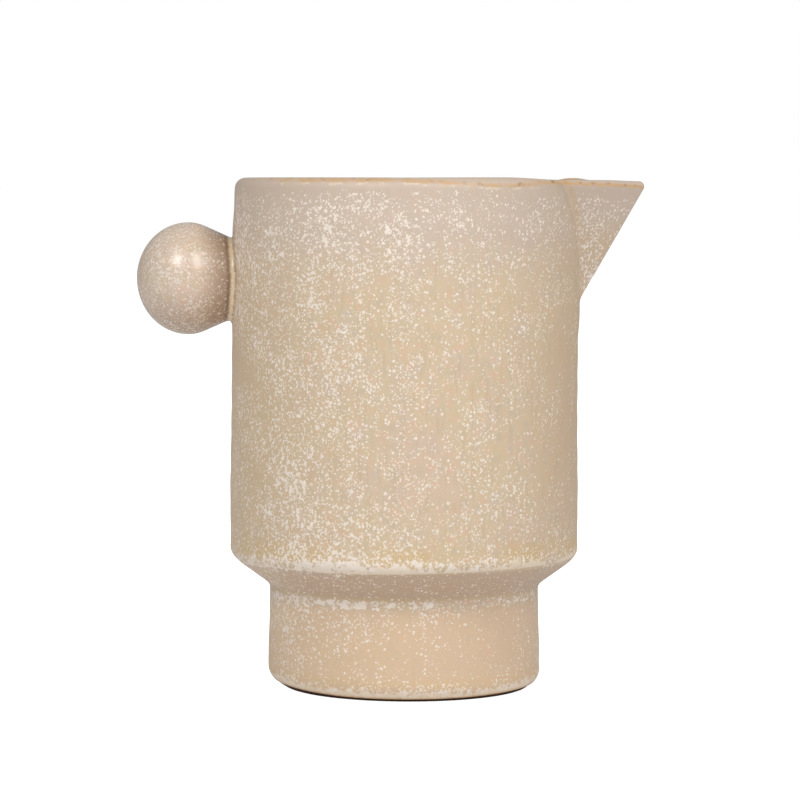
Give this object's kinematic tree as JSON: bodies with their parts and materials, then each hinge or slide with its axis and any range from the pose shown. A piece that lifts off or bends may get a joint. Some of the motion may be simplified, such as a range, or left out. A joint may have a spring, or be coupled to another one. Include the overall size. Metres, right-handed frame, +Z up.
{
  "type": "ceramic pitcher",
  "caption": "Cylindrical glazed stoneware pitcher on a smaller undercut foot, with a V-shaped beak spout and a hollow ball handle.",
  "frame": {"origin": "centre of the circle that the pitcher stands on, at table height", "axes": "+Z up along the vessel's axis, +X towards the spout, -X towards the ball handle"},
  "size_m": [0.1788, 0.1226, 0.18],
  "materials": {
    "stoneware": "matte",
    "slip": "matte",
    "outer_glaze": "satin",
    "liner_glaze": "satin"
  },
  "bodies": {
    "root": {"body": "stoneware", "spout": "stoneware", "ball_handle": "stoneware", "spout_slip_joint": "slip", "handle_slip_joint": "slip", "outer_glaze": "outer_glaze", "liner_glaze": "liner_glaze"}
  },
  "joints": []
}
